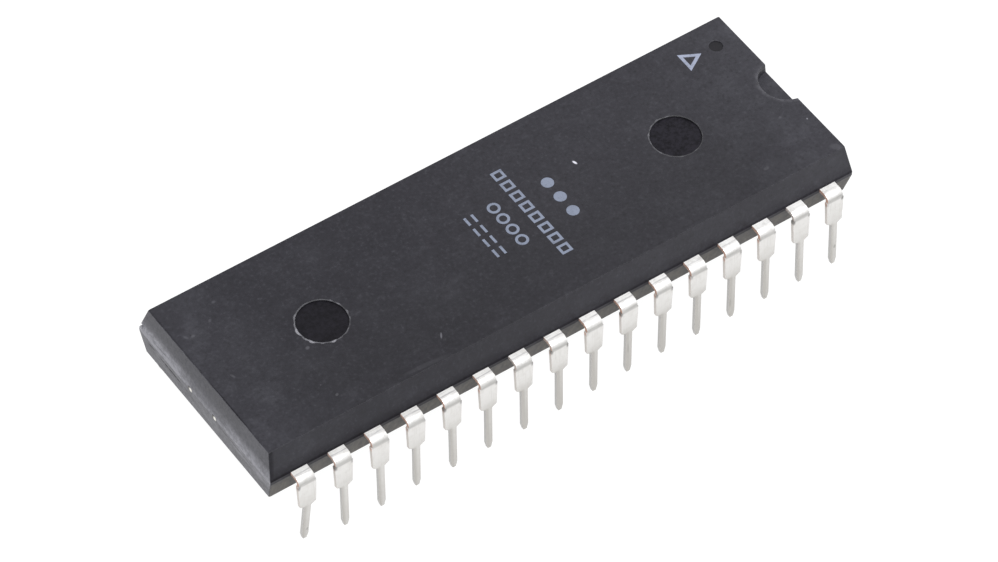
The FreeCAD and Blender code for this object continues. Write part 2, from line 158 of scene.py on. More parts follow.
class Finish(Nodes):
    """The node tree of one material."""

    def __init__(self, name):
        self.material = bpy.data.materials.new(name)
        self.material.use_nodes = True
        super().__init__(self.material.node_tree)

    def place(self):
        """The point on the object, in millimetres."""
        metres = self.node("ShaderNodeTexCoord", output="Object")
        return self.stretched(metres, 1 / MM, 1 / MM, 1 / MM)

    def facing(self):
        return self.node("ShaderNodeTexCoord", output="Normal")

    def stretched(self, place, along, across, up):
        """A place whose X, Y and Z are multiplied, which makes a pattern finer that way."""
        inputs = {0: place, 1: (along, across, up)}
        return self.node("ShaderNodeVectorMath", {"operation": "MULTIPLY"}, inputs)

    def blend(self, share, first, second):
        """A colour that goes from the first to the second as share goes from 0 to 1."""
        inputs = {0: share, 6: as_colour(first), 7: as_colour(second)}
        return self.node("ShaderNodeMix", {"data_type": "RGBA"}, inputs, output=2)

    def noise(self, place, scale, detail=2.0, roughness=0.5):
        inputs = {"Vector": place, "Scale": scale, "Detail": detail, "Roughness": roughness}
        return self.node("ShaderNodeTexNoise", inputs=inputs)

    def specks(self, place, scale, size, share):
        """Scattered round specks of about a size, in only a share of their cells."""
        cells = self.node("ShaderNodeTexVoronoi", inputs={"Vector": place, "Scale": scale})
        colour = Signal(self, cells.socket.node.outputs["Color"])
        chance, spread, _ = self.parts(colour)
        reach = size * scale
        return cells.between(reach * 1.3, reach * 0.5) * chance.between(1 - share, 1.05 - share) * spread

    def bump(self, height, depth):
        return self.node("ShaderNodeBump", inputs={"Height": height, "Distance": depth * MM})

    def surface(self, **inputs):
        """The shader of a surface. Its sockets are written as base_color or specular_ior_level."""
        named = {}
        for name, value in inputs.items():
            named[name.replace("_", " ").title().replace("Ior", "IOR")] = value
        return self.node("ShaderNodeBsdfPrincipled", inputs=named)

    def mixed(self, share, first, second):
        return self.node("ShaderNodeMixShader", inputs={0: share, 1: first, 2: second})

    def finish_with(self, shader):
        self.node("ShaderNodeOutputMaterial", inputs={"Surface": shader})
        return self.material


def as_colour(value):
    """A value of the node tree as it is, or a colour with its alpha."""
    return value if isinstance(value, Signal) else (*value, 1.0)


# Meshes

def add_piece(name, mesh, material):
    """A piece of the chip that rides on its one body."""
    piece = bpy.data.objects.new(name, mesh)
    bpy.context.scene.collection.objects.link(piece)
    mesh.materials.append(material)
    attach(piece, "root")
    return piece


def mesh_from(name, shape, smooth=False):
    """The mesh of a bmesh built in millimetres."""
    bmesh.ops.scale(shape, vec=(MM, MM, MM), verts=shape.verts)
    bmesh.ops.recalc_face_normals(shape, faces=shape.faces)
    for face in shape.faces:
        face.smooth = smooth
    mesh = bpy.data.meshes.new(name)
    shape.to_mesh(mesh)
    shape.free()
    return mesh


def join_rings(shape, rings):
    """Faces between each ring of points and the next, and from the last ring to the first."""
    for ring, after in zip(rings, rings[1:] + rings[:1]):
        for index in range(len(ring)):
            turn = (index + 1) % len(ring)
            shape.faces.new((ring[index], ring[turn], after[turn], after[index]))


def set_material(node, material):
    """Gives a CAD node its finish."""
    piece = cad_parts[node]
    for slot in piece.material_slots:
        slot.material = material
    return piece


# Edges of the CAD nodes

# Corners nearer than this are welded, and faces that meet at less than this many degrees are joined
WELD_DISTANCE = 0.0001
FLAT_ANGLE = 0.3


def make_edge_picker(name, bands, rounded, creased):
    """A node group for a mesh's edges. It weights the edges that turn by more than the rounded angle and
    whose middle lies in a band of heights. It keeps other edges over the creased angle sharp."""
    group = bpy.data.node_groups.new(name, "GeometryNodeTree")
    for in_out in ("INPUT", "OUTPUT"):
        group.interface.new_socket("Geometry", in_out=in_out, socket_type="NodeSocketGeometry")
    nodes = Nodes(group)

    def stored(geometry, attribute, kind, value):
        settings = {"data_type": kind, "domain": "EDGE"}
        inputs = {"Geometry": geometry, "Name": attribute, "Value": value}
        return nodes.node("GeometryNodeStoreNamedAttribute", settings, inputs)

    height = nodes.parts(nodes.node("GeometryNodeInputPosition"))[2]
    angle = nodes.node("GeometryNodeInputMeshEdgeAngle")
    in_band = 0.0
    for low, high in bands:
        in_band = (height.above(low * MM) * height.below(high * MM)).most(in_band)
    weight = in_band * angle.above(math.radians(rounded))
    sharp = (angle - weight * math.pi).above(math.radians(creased))
    inputs = {"Geometry": nodes.node("NodeGroupInput"), "Name": "custom_normal"}
    bare = nodes.node("GeometryNodeRemoveAttribute", inputs=inputs)
    weighted = stored(bare, "bevel_weight_edge", "FLOAT", weight)
    marked = stored(weighted, "sharp_edge", "BOOLEAN", sharp)
    nodes.node("NodeGroupOutput", inputs={0: marked})
    return group


def soften_edges(piece, radius, segments, picker):
    """Rounds a CAD node's picked edges with modifiers alone."""
    weld = piece.modifiers.new("weld", "WELD")
    weld.merge_threshold = WELD_DISTANCE * MM
    faces = piece.modifiers.new("whole_faces", "DECIMATE")
    faces.decimate_type = "DISSOLVE"
    faces.angle_limit = math.radians(FLAT_ANGLE)
    picked = piece.modifiers.new("picked_edges", "NODES")
    picked.node_group = picker
    rounding = piece.modifiers.new("rounding", "BEVEL")
    rounding.limit_method = "WEIGHT"
    rounding.width = radius * MM
    rounding.segments = segments
    rounding.use_clamp_overlap = False
    rounding.harden_normals = False
    shading = piece.modifiers.new("shading", "WEIGHTED_NORMAL")
    shading.keep_sharp = True
    shading.weight = 100


# Settings

class MouldingSettings(PropertyGroup):
    """The moulded body"""

    # The two tones paint light and shade from end to end: darker at the plain end, lighter at the notch
    shaded_end_tone: FloatVectorProperty(
        name="Tone at the plain end", description="Colour of the compound away from the notch",
        subtype="COLOR", size=3, default=(0.0125, 0.0119, 0.0168), min=0, max=1,
    )
    lit_end_tone: FloatVectorProperty(
        name="Tone at the notch", description="Colour of the compound beside the notch",
        subtype="COLOR", size=3, default=(0.0206, 0.0199, 0.0258), min=0, max=1,
    )
    # Also the colour of the painted light on the end faces and of the painted highlights on the flash rims
    scuff_and_light_tone: FloatVectorProperty(
        name="Scuffed tone", description="Colour where the compound is scraped or chipped",
        subtype="COLOR", size=3, default=(0.27, 0.27, 0.30), min=0, max=1,
    )
    roughness: FloatProperty(
        name="Roughness", description="How matt the moulded faces are",
        default=0.5, min=0, max=1,
    )
    grain: FloatProperty(
        name="Grain depth", description="Height of the fine spark eroded grain, in millimetres",
        default=0.004, min=0, max=0.05,
    )
    edge_radius: FloatProperty(
        name="Edge radius", description="Rounding of the moulded edges, in millimetres",
        default=0.05, min=0.005, max=0.2,
    )
    rim_height: FloatProperty(
        name="Rim height", description="Flash around an ejector mark, in millimetres",
        default=0.026, min=0, max=0.1,
    )


class LeadSettings(PropertyGroup):
    """The tinned leads"""

    tin: FloatVectorProperty(
        name="Tin", description="Colour of the matt tin plate",
        subtype="COLOR", size=3, default=(0.95, 0.945, 0.935), min=0, max=1,
    )
    copper: FloatVectorProperty(
        name="Copper", description="Colour of the strip where it was sheared",
        subtype="COLOR", size=3, default=(0.62, 0.41, 0.33), min=0, max=1,
    )
    edge_radius: FloatProperty(
        name="Edge radius", description="Rounding of the stamped edges, in millimetres",
        default=0.033, min=0.005, max=0.1,
    )


class PrintSettings(PropertyGroup):
    """The printed marks on the top face"""

    ink: FloatVectorProperty(
        name="Ink", description="Colour of the printed marks",
        subtype="COLOR", size=3, default=(0.17, 0.195, 0.26), min=0, max=1,
    )
    stroke: FloatProperty(
        name="Stroke", description="Width of a printed line, in millimetres",
        default=0.17, min=0.05, max=0.5,
    )
    thickness: FloatProperty(
        name="Thickness", description="Height of the ink above the face, in millimetres",
        default=0.008, min=0.001, max=0.05,
    )


class StageSettings(PropertyGroup):
    """Floor, light and camera"""

    azimuth: FloatProperty(
        name="Azimuth", description="Bearing of the camera round the chip, in degrees",
        default=-36.954,
    )
    elevation: FloatProperty(
        name="Elevation", description="Camera above the horizon, in degrees",
        default=50.488,
    )
    roll: FloatProperty(
        name="Roll", description="Turn of the camera about its own line, in degrees",
        default=2.297,
    )
    distance: FloatProperty(
        name="Distance", description="Camera from its target, in millimetres",
        default=317.805,
    )
    lens: FloatProperty(
        name="Lens", description="Focal length, in millimetres on a 36 mm frame",
        default=193.49,
    )
    target: FloatVectorProperty(
        name="Target", description="Point the camera looks at, in millimetres",
        subtype="XYZ", size=3, default=(-0.931, -1.191, 4.754),
    )
    sky: FloatProperty(
        name="Sky", description="Brightness of the light overhead",
        default=0.85, min=0, max=10,
    )
    horizon: FloatProperty(
        name="Horizon", description="Brightness of the light at floor level",
        default=0.5, min=0, max=10,
    )
    key: FloatProperty(
        name="Key", description="Strength of the soft key light",
        default=3.0, min=0, max=20,
    )
    key_angle: FloatProperty(
        name="Key size", description="Angle that the key light spans, in degrees",
        default=30, min=1, max=90,
    )
    key_from: FloatVectorProperty(
        name="Key from", description="Direction that the key light comes from",
        subtype="XYZ", size=3, default=(-0.1, -0.35, 0.93),
    )


# Finishes of the moulded body

# Colours of the compound: dusty, dark grain and painted shade, nicked, and painted light on the gate
# scar's floor and the lower sides
DUSTY = (0.085, 0.086, 0.102)
DARK_GRAIN_AND_SHADE = (0.006, 0.006, 0.007)
NICKED = (0.72, 0.72, 0.80)
SCAR_FLOOR_PAINTED_LIGHT = (0.42, 0.42, 0.45)
LOWER_SIDE_PAINTED_LIGHT = (0.090, 0.081, 0.068)

# Colours of the sunk floors: the two that their patches lie between, and that of the dot
SUNK_DARK = (0.0045, 0.0042, 0.0058)
SUNK_PALE = (0.014, 0.013, 0.018)
DOT_FLOOR = (0.022, 0.0215, 0.024)

# Depths of a sunk floor behind its face: its finish fades in over the first two, and out over the last two
SUNK_DEPTHS = (0.05, 0.07, 0.15, 0.2)


def moulding_finish(settings):
    """Matt black epoxy: fine grain, dust towards the ends, end faces paled as painted light and painted
    shade above the parting line.
    """
    finish = Finish("moulded_epoxy")
    place = finish.place()
    x, y, z = finish.parts(place)
    face_x, face_y, face_z = finish.parts(finish.facing())
    cloud = finish.noise(place, 0.16, 4.0, 0.6)
    mottle = finish.noise(place, 1.3, 3.0, 0.65)
    grain = finish.noise(place, 4.2, 3.0, 0.75)
    at_top = z.between(TOP - 0.03, TOP - 0.01)
    on_top = at_top * face_z.between(0.8, 0.95)

    tone = dusty_tone(finish, settings, place, cloud, mottle, grain, at_top)
    # Wear, with painted light on the end faces, the gate scar's floor and the lower sides
    wear = (
        (strokes(x, y, NICKS) * on_top, NICKED),
        (worn_edges(finish, place, x, y, z), settings.scuff_and_light_tone),
        (end_faces_painted_light(finish, place, x, y, z, face_x), settings.scuff_and_light_tone),
        (scar_floor_painted_light(x, y, z, face_z) * (0.5 + grain * 0.4), SCAR_FLOOR_PAINTED_LIGHT),
        (notch_rim(x, y) * on_top * mottle.between(0.3, 0.6), settings.scuff_and_light_tone),
        (lower_sides_painted_light(finish, place, z, face_y), LOWER_SIDE_PAINTED_LIGHT),
    )
    for share, colour in wear:
        tone = finish.blend(share, tone, colour)

    roughness = settings.roughness + (grain - 0.5) * 0.3 + (cloud - 0.5) * 0.2
    height = grain * 0.9 + mottle * 0.4 + finish.noise(place, 16.0, 1.0) * 0.3
    normal = finish.bump(height, settings.grain)
    moulded = finish.surface(base_color=tone, roughness=roughness, specular_ior_level=0.32, normal=normal)
    matt = finish.surface(
        base_color=sunk_tone(finish, x, y, mottle, grain), roughness=0.5 + mottle * 0.2,
        specular_ior_level=0.13, normal=normal,
    )
    # The painted shade takes the matt shader and the colour of the sunk floors
    lines = painted_shade_and_scratches(finish, place, x, y, z, face_x, face_y, on_top)
    return finish.finish_with(finish.mixed(sunk_floors(z, face_z).most(lines), moulded, matt))


def dusty_tone(finish, settings, place, cloud, mottle, grain, at_top):
    """The compound before its wear: two tones from end to end as painted light and shade, under dust,
    grain and a few pale specks.
    """
    x, y, _ = finish.parts(place)
    patch = finish.noise(place, 0.55, 3.0, 0.6)
    towards_ends = abs(x).between(13.0, 20.8)
    # Painted light and shade: darker towards the plain end, lighter towards the notch
    tone = finish.blend(x.between(-17, 12), settings.shaded_end_tone, settings.lit_end_tone)
    dust = towards_ends * 0.10 + cloud.between(0.45, 0.75) * 0.07
    dust = dust + patch.between(0.45, 0.75) * (0.06 + towards_ends * 0.10)
    tone = finish.blend(dust + mottle.between(0.5, 0.8) * 0.1, tone, DUSTY)
    tone = finish.blend(grain.between(0.5, 0.85) * 0.3, tone, DUSTY)
    tone = finish.blend(grain.between(0.5, 0.2) * 0.6, tone, DARK_GRAIN_AND_SHADE)
    # Painted shade on the near half of the top face, away from the ends
    painted_shade_near_side = y.between(3, -5) * (1 - towards_ends) * at_top
    tone = finish.blend(painted_shade_near_side * 0.22, tone, DARK_GRAIN_AND_SHADE)
    specks = finish.specks(place, 1.3, 0.05, 0.2) * (0.05 + abs(x).between(9, 20) * 0.12)
    return finish.blend(specks, tone, settings.scuff_and_light_tone)


def worn_edges(finish, place, x, y, z):
    """The rounded edge of the top face at its ends, rubbed pale in broken lengths."""
    broken = finish.noise(place, 1.1, 4.0, 0.7)
    edge = z.within(TOP - 0.06, TOP - 0.035, TOP - 0.012, TOP - 0.001)
    across_the_end = abs(x).between(16, 19.5) * abs(y).between(6.3, 6.2)
    return edge * broken.between(0.4, 0.65) * across_the_end * 0.15


def end_faces_painted_light(finish, place, x, y, z, face_x):
    """Grey end faces, paled as painted light in blotches, with a painted highlight beside the parting
    line, and speckled all over.
    """
    outermost = abs(x).between(HALF_LENGTH - 0.6, HALF_LENGTH - 0.45)
    blotch = finish.noise(finish.stretched(place, 1.0, 0.75, 1.3), 1.0, 4.0, 0.7)
    fleck = finish.noise(place, 3.8, 3.0, 0.8)
    # Painted light: the end face paled all over, more towards the parting line, below it and near one
    # corner
    upper = 0.15 + z.between(STRIP_TOP + 1.5, STRIP_TOP + 0.1) * 0.16 + y.between(0, 6) * 0.03
    towards_corners = 0.15 + y.between(0.8, 3.4) * 0.7 + y.between(-1.4, -3.4) * 0.45
    wavering = z + (blotch - 0.5) * 0.9
    # A painted highlight in a wide wavering band above the parting line, and a thin one at it
    bright = wavering.between(STRIP_TOP + 0.9, STRIP_TOP + 0.4) * towards_corners
    highlight_near_line = z.between(STRIP_TOP + 0.22, STRIP_TOP + 0.02) * 0.24
    upper = upper + bright * (0.2 + blotch * 0.7) + highlight_near_line
    lower = z.between(STRIP_TOP, STRIP_BASE) * (0.27 + blotch.between(0.35, 0.65) * 0.17)
    near_corner = y.between(-2.0, -4.0) * z.between(BASE + 0.9, BASE + 1.2) * 0.22
    above_strip = z.between(STRIP_BASE, STRIP_BASE + 0.08)
    shares = (upper * above_strip).most(lower + near_corner)
    return on_end_face(face_x) * outermost * shares * (0.68 + fleck.between(0.3, 0.7) * 0.62)


def scar_floor_painted_light(x, y, z, face_z):
    """Painted light on the floor of the gate scar, at the far corner of the plain end, which lies in
    shadow.
    """
    at_corner = x.between(-20.4, -20.5) * y.between(6.3, 6.4)
    return at_corner * z.between(STRIP_TOP + 0.02, STRIP_TOP + 0.005) * face_z.between(0.5, 0.8)


def notch_rim(x, y):
    """A ring on the top face round the end notch."""
    from_notch = ((abs(x) - HALF_LENGTH) ** 2 + y ** 2) ** 0.5 - NOTCH_RADIUS
    return x.between(0, 1) * from_notch.between(0.34, 0.05) * 0.16


def lower_sides_painted_light(finish, place, z, face_y):
    """The long sides below the parting line, lightened as painted light bounced from the floor, in upright
    streaks.
    """
    lower_half = z.between(STRIP_BASE + 0.05, STRIP_BASE - 0.1) * on_long_side(face_y)
    upright_streak = finish.noise(finish.stretched(place, 2.6, 1.0, 0.7), 1.0, 3.0, 0.7)
    under_line = 0.65 + z.between(STRIP_BASE - 0.1, STRIP_BASE - 0.6) * 0.35
    return lower_half * under_line * (0.35 + upright_streak.between(0.3, 0.7) * 0.65)


def sunk_tone(finish, x, y, mottle, grain):
    """The dark floors of the ejector marks, patchy and paler towards the notch, and that of the dot."""
    patches = mottle.between(0.35, 0.65) * 0.4 + grain.between(0.35, 0.65) * 0.7
    tone = finish.blend(patches * (0.55 + x.between(-20, 30)), SUNK_DARK, SUNK_PALE)
    in_the_dot = x.between(16.0, 16.1) * y.between(4.0, 4.1)
    return finish.blend(in_the_dot * 0.7, tone, DOT_FLOOR)


def sunk_floors(z, face_z):
    """The floors of the ejector marks and of the dot, a little below the top or above the base."""
    under_top = (TOP - z).within(*SUNK_DEPTHS) * face_z.between(0.6, 0.9)
    over_base = (z - BASE).within(*SUNK_DEPTHS) * face_z.between(-0.6, -0.9)
    return under_top + over_base


def painted_shade_and_scratches(finish, place, x, y, z, face_x, face_y, on_top):
    """Painted shade where hardly any light comes back: above the parting line and at the corners; painted
    shadow strokes on the plain end; and a few dark scratches.
    """
    at_the_scar = x.between(-20.4, -20.5) * y.between(6.0, 6.1)
    side_face = on_long_side(face_y) * (1 - at_the_scar)
    above_line = z.between(STRIP_TOP - 0.03, STRIP_TOP)
    # Painted shade: dark just above the parting line, fading upwards, and in a strip beside the upright
    # corners
    dim = z.between(STRIP_TOP + 0.9, STRIP_TOP + 0.1) * (0.45 - x.between(-12, 8) * 0.12)
    parting = dim + z.between(STRIP_TOP + 0.22, STRIP_TOP + 0.08) * 0.5
    from_corner = HALF_LENGTH - abs(x) - (z - STRIP_TOP) * END_SLANT
    corner = from_corner.between(0.38, 0.16) * (0.6 - x.between(0, 1) * 0.45)
    on_plain_end = on_end_face(face_x) * x.between(0, -1)
    broken = 0.35 + finish.noise(place, 3.0, 2.0).between(0.35, 0.55) * 0.65
    # Painted shadow in strokes along the parting line on the plain end
    end_shadow = strokes(y, z, END_SHADOW_STROKES) * on_plain_end * broken
    ruled = strokes(x, y, TOP_SCRATCHES) * on_top
    return (side_face * above_line * parting.most(corner)).most(end_shadow).most(ruled)


def on_end_face(face_x):
    return abs(face_x).between(0.75, 0.95)


def on_long_side(face_y):
    return abs(face_y).between(0.5, 0.8)


# Strokes are given as their middle, half length, half width, direction in degrees and strength.
# Nicks and pale specks on the top face, with their middle as X and Y
NICKS = (
    (6.52, 1.68, 0.18, 0.08, -73, 0.8),
    (19.59, -6.38, 0.10, 0.05, -20, 0.4),
    (-7.64, -4.75, 0.24, 0.06, -122, 0.11),
    (-15.09, -4.98, 0.12, 0.09, 30, 0.05),
    (-9.60, -6.05, 1.6, 0.16, -4, 0.015),
    (-17.2, 4.72, 0.15, 0.10, 0, 0.035),
    (-18.14, 3.67, 0.14, 0.10, 40, 0.03),
    (-19.58, 3.25, 0.14, 0.10, 0, 0.04),
    (-19.98, 3.38, 0.16, 0.09, -60, 0.035),
    (-19.30, -0.50, 0.20, 0.08, -70, 0.035),
    (20.15, -3.30, 0.07, 0.05, 60, 0.20),
    (15.74, -5.08, 0.22, 0.12, 10, 0.03),
    (18.85, -2.31, 0.14, 0.10, 30, 0.03),
    (-14.57, -1.18, 0.15, 0.12, 30, 0.05),
    (20.25, -6.05, 0.40, 0.25, -40, 0.03),
)

# Dark scratches on the top face as X and Y, and painted shadow strokes along the parting line on the plain
# end as Y and Z
TOP_SCRATCHES = (
    (-20.66, -2.45, 2.3, 0.06, 90, 0.7),
    (-20.64, 3.6, 2.6, 0.035, 90, 0.25),
)
END_SHADOW_STROKES = (
    (5.60, 5.47, 0.40, 0.08, 0, 0.9),
    (3.55, 5.30, 1.45, 0.09, 2, 1.0),
    (1.60, 5.15, 0.55, 0.07, 12, 0.5),
    (-2.9, 5.48, 2.2, 0.06, 3, 0.5),
    (4.4, 6.20, 1.1, 0.06, -5, 0.3),
)


def strokes(across, up, marks):
    """Soft ended strokes that lie in one plane."""
    found = 0.0
    for middle_across, middle_up, half_length, half_width, direction, strength in marks:
        turn = math.radians(direction)
        along = (across - middle_across) * math.cos(turn) + (up - middle_up) * math.sin(turn)
        aside = (up - middle_up) * math.cos(turn) - (across - middle_across) * math.sin(turn)
        spread = (along / half_length) ** 2 + (aside / half_width) ** 2
        found = (spread.between(1.5, 0.1) * strength).most(found)
    return found


# Finish of the leads

# Colours of the tin: on the leads at the left as painted shade, on the legs, where it is dull, in painted
# shade towards the tips, worked, in painted shade at the shoulders' front and at the bends, drawn, and
# stained and shadowed
LEFT_TIN_IN_SHADE = (0.82, 0.815, 0.805)
LEG_TIN = (0.71, 0.70, 0.685)
DULL_TIN = (0.62, 0.605, 0.58)
TIN_IN_PAINTED_SHADE = (0.44, 0.425, 0.40)
WORKED_TIN = (0.46, 0.45, 0.45)
SHADED_SHOULDER_TIN = (0.44, 0.43, 0.44)
BEND_SHADE_TIN = (0.30, 0.295, 0.285)
DRAWN_TIN = (0.50, 0.48, 0.46)
STAIN_AND_SHADOW_TIN = (0.10, 0.095, 0.09)

# Colours of the sheared sides, on the narrow part and on the wide part
SHEARED_NARROW = (0.50, 0.49, 0.48)
SHEARED_WIDE = (0.64, 0.60, 0.57)

# Dark stains on the near row of leads, as X and Z
STAINS = (
    (19.60, 5.40, 0.16, 0.12, 60, 0.9),
    (17.06, 5.42, 0.12, 0.08, 60, 0.6),
    (-5.80, 5.42, 0.12, 0.08, 60, 0.6),
    (-19.62, 5.30, 0.12, 0.07, 90, 0.6),
    (19.12, 1.45, 0.16, 0.09, 80, 0.5),
    (-18.95, 0.95, 0.14, 0.08, 80, 0.5),
    (11.30, 1.30, 0.40, 0.06, 88, 0.3),
    (3.75, 2.10, 0.50, 0.06, 91, 0.25),
)


def tin_finish(settings):
    """Matt tin over a copper alloy: painted shade streaked across the bends and down the legs, and bare
    copper at the sheared sides.
    """
    finish = Finish("matt_tin")
    place = finish.place()
    x, y, z = finish.parts(place)
    face_x, face_y, face_z = finish.parts(finish.facing())
    depth = STRIP_TOP - z
    across = ((x / PITCH + 1.0).fraction() - 0.5) * PITCH
    mottle = finish.noise(place, 2.6, 4.0, 0.65)
    worked = finish.noise(finish.stretched(place, 1.1, 9.0, 9.0), 1.0, 3.0, 0.65)
    drawn = finish.noise(finish.stretched(place, 9.0, 1.0, 0.7), 1.0, 3.0, 0.6)
    flat = face_z.between(0.8, 0.97)

    # Painted shade: the tin darker on the leads towards the left
    tone = finish.blend(x.between(-19, 14), LEFT_TIN_IN_SHADE, settings.tin)
    tone = finish.blend(depth.between(0.12, 0.4), tone, LEG_TIN)
    tone = finish.blend(mottle.between(0.4, 0.7) * 0.5, tone, DULL_TIN)
    middle_leads = x.within(-14, -2, 12, 17)
    # Painted shade: darker down the legs to the tips, most on the middle leads, and on one half of the
    # narrow part
    shade_towards_tips = depth.between(1.6, 2.7) * (0.25 + middle_leads * 0.3)
    shade_towards_tips = shade_towards_tips + depth.between(2.7, STRIP_TOP - 0.5) * 0.25 + depth.between(0.9, 1.8) * 0.15
    narrow = depth.between(2.3, 2.6)
    shaded_left_half = (across * face_y).between(-0.05, 0.2) * narrow * (0.45 + middle_leads * 0.3)
    tone = finish.blend(shade_towards_tips + shaded_left_half, tone, TIN_IN_PAINTED_SHADE)

    streaked = flat * (1 - x.between(4, 16) * 0.65)
    tone = finish.blend(streaked * worked.between(0.5, 0.68) * 0.45, tone, WORKED_TIN)
    # Painted shade in streaks along the front of the shoulders, before the bend
    from_middle = abs(y) + (mottle - 0.5) * 0.1
    shoulder_front_shade = from_middle.within(7.20, 7.26, 7.28, 7.36) * streaked
    tone = finish.blend(shoulder_front_shade * worked.between(0.2, 0.6) * 0.65, tone, SHADED_SHOULDER_TIN)
    # Painted shade along the bends, streaked
    bend_shade = depth.within(0.06, 0.34, 0.46, 0.66)
    tone = finish.blend(bend_shade * (0.3 + worked * 0.65), tone, BEND_SHADE_TIN)
    tone = finish.blend((1 - flat) * drawn.between(0.5, 0.75) * 0.3, tone, DRAWN_TIN)

    side = abs(face_x).between(0.6, 0.9)
    sheared = finish.blend(depth.between(2.6, 2.2), SHEARED_NARROW, SHEARED_WIDE)
    tone = finish.blend(side * (0.75 + mottle * 0.25), tone, sheared)
    by_lead = finish.noise(finish.stretched(place, 0.31, 0.05, 0.02), 1.0, 1.0)
    bare = side * depth.between(0.95, 0.5) * (mottle * 0.6 + by_lead).between(0.5, 0.85)
    tone = finish.blend(bare, tone, settings.copper)
    # Painted shadow under the dam-bar nubs at the lead edges, joined with the real stains
    burr_shadow = abs(across).between(0.4, 0.57) * depth.within(0.4, 0.5, 0.6, 0.85)
    burr_shadow = burr_shadow * finish.noise(place, 0.9, 1.0).between(0.42, 0.6)
    stains_and_burr_shadow = burr_shadow.most(strokes(x, z, STAINS) * y.between(0, -1))
    tone = finish.blend(stains_and_burr_shadow * 0.8, tone, STAIN_AND_SHADOW_TIN)

    return finish.finish_with(finish.surface(
        base_color=tone, metallic=0.45 + bare * 0.2, roughness=0.42 + mottle * 0.14 + bare * 0.1,
        normal=finish.bump(mottle + worked * 0.5 * flat + drawn * 0.4, 0.008),
    ))


# Finishes of the inner pieces

# Colours of the paddle's rolled copper and of the cut ends of its tie bars
ROLLED_COPPER = (0.66, 0.36, 0.24)
CUT_DARK = (0.07, 0.065, 0.06)
CUT_BRIGHT = (0.86, 0.84, 0.78)

# Colours of the adhesive and its flakes, of the die's circuit fields and tracks, and of the wires
ADHESIVE_DIM = (0.34, 0.34, 0.33)
ADHESIVE_PALE = (0.50, 0.50, 0.49)
FLAKE = (0.85, 0.85, 0.84)
COLD_FIELD = (0.10, 0.12, 0.20)
WARM_FIELD = (0.24, 0.20, 0.24)
TRACK = (0.32, 0.30, 0.26)
DEEP_GOLD = (0.88, 0.62, 0.22)
BRIGHT_GOLD = (0.98, 0.76, 0.36)

# The bright middles of the sheared tie bars, as strokes with their middle as Y and Z
TIE_BAR_ENDS = (
    (1.36, 5.88, 0.17, 0.15, 10, 1.0),
    (-1.18, 5.88, 0.15, 0.16, 0, 1.0),
)


def copper_finish(settings):
    """Stamped copper alloy, with the cut ends of the tie bars bright in their middles."""
    finish = Finish("stamped_copper")
    place = finish.place()
    x, y, z = finish.parts(place)
    rolled = finish.noise(finish.stretched(place, 0.6, 9.0, 9.0), 1.0, 3.0, 0.6)
    ends = abs(x).between(HALF_LENGTH - 0.05, HALF_LENGTH - 0.01)
    tone = finish.blend(rolled.between(0.3, 0.7), settings.copper, ROLLED_COPPER)
    tone = finish.blend(ends, tone, CUT_DARK)
    tone = finish.blend(strokes(y, z, TIE_BAR_ENDS) * ends, tone, CUT_BRIGHT)
    return finish.finish_with(finish.surface(
        base_color=tone, metallic=1.0 - ends * 0.6, roughness=0.32 + rolled * 0.15,
        normal=finish.bump(rolled, 0.004),
    ))


def adhesive_finish():
    """Silver filled epoxy with its flakes."""
    finish = Finish("silver_filled_adhesive")
    place = finish.place()
    flakes = finish.specks(place, 9.0, 0.05, 0.6)
    cloud = finish.noise(place, 3.0, 3.0)
    tone = finish.blend(cloud, ADHESIVE_DIM, ADHESIVE_PALE)
    tone = finish.blend(flakes, tone, FLAKE)
    return finish.finish_with(finish.surface(
        base_color=tone, metallic=flakes * 0.8, roughness=0.45, normal=finish.bump(cloud, 0.006),
    ))


def silicon_finish():
    """A polished die whose circuit blocks show as faint fields of tint."""
    finish = Finish("passivated_silicon")
    place = finish.place()
    settings = {"feature": "F1", "distance": "CHEBYCHEV"}
    inputs = {"Vector": place, "Scale": 1.1}
    blocks = finish.node("ShaderNodeTexVoronoi", settings, inputs, output="Color")
    hue = finish.parts(blocks)[0]
    lines = finish.noise(finish.stretched(place, 30.0, 1.0, 1.0), 1.0, 1.0)
    tone = finish.blend(hue, COLD_FIELD, WARM_FIELD)
    tone = finish.blend(lines.between(0.45, 0.6) * 0.4, tone, TRACK)
    return finish.finish_with(finish.surface(base_color=tone, metallic=0.35, roughness=0.12 + lines * 0.1))


def gold_finish():
    """Fine drawn gold wire."""
    finish = Finish("drawn_gold")
    drawn = finish.noise(finish.place(), 40.0, 2.0)
    tone = finish.blend(drawn, DEEP_GOLD, BRIGHT_GOLD)
    return finish.finish_with(finish.surface(base_color=tone, metallic=1.0, roughness=0.18 + drawn * 0.15))


# Finishes of the added pieces

# Colours of the flash where no highlight is painted, and of the ink where it is heavy and where it is worn
# off
PLAIN_FLASH = (0.022, 0.022, 0.026)
HEAVY_INK = (0.36, 0.39, 0.51)
WORN_INK = (0.06, 0.064, 0.085)


def flash_finish(settings):
    """Scraped compound on the flash round the ejector marks: pale where a highlight is painted on the rim.
    """
    finish = Finish("flash_with_painted_highlight")
    mottle = finish.noise(finish.place(), 3.2, 4.0, 0.7)
    painted_highlight = finish.node("ShaderNodeAttribute", {"attribute_name": "painted_highlight"}, output="Fac")
    share = painted_highlight * mottle.between(0.25, 0.6) * 0.75
    tone = finish.blend(share, PLAIN_FLASH, settings.scuff_and_light_tone)
    return finish.finish_with(finish.surface(
        base_color=tone, roughness=0.55 + mottle * 0.2, normal=finish.bump(mottle, 0.01),
    ))


